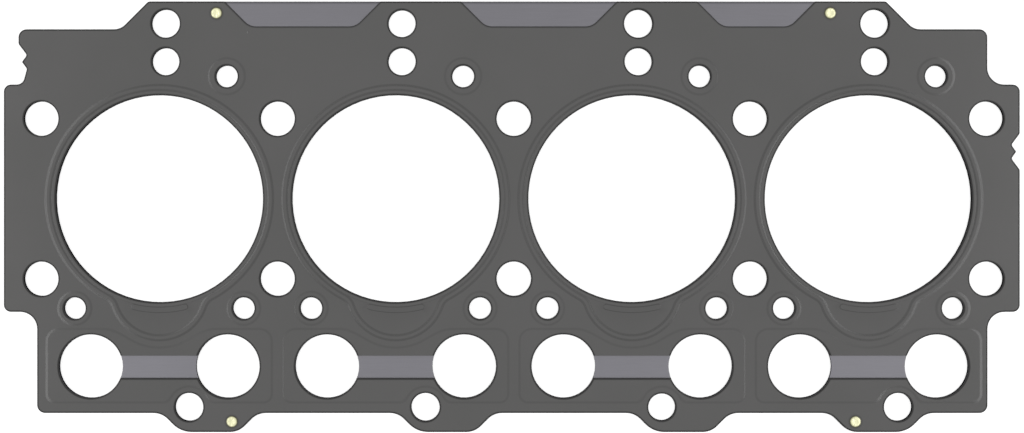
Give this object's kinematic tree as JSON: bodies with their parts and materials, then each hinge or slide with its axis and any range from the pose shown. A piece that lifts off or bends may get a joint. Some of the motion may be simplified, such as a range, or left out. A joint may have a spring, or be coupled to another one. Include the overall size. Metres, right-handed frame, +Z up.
{
  "type": "cylinder head gasket",
  "caption": "Riveted steel cylinder head gasket for an in-line diesel engine with pushrods, embossed bead layer on a bare steel carrier plate.",
  "frame": {"origin": "centre of the head bolt pattern and of the row of bores, on the face that lies on the block", "axes": "+X along the row of bores, +Y from the pushrod side to the far side, +Z up to the cylinder head"},
  "size_m": [0.5072, 0.215, 0.0018],
  "materials": {
    "coating": "satin",
    "bare_steel": "satin",
    "stopper_steel": "polished",
    "rivet_brass": "polished"
  },
  "bodies": {
    "root": {"carrier_plate": "bare_steel", "top_bead_layer": "coating", "stopper_ring_1": "stopper_steel", "stopper_ring_2": "stopper_steel", "stopper_ring_3": "stopper_steel", "stopper_ring_4": "stopper_steel", "rivet_1": "rivet_brass", "rivet_2": "rivet_brass", "rivet_3": "rivet_brass", "rivet_4": "rivet_brass"}
  },
  "joints": []
}
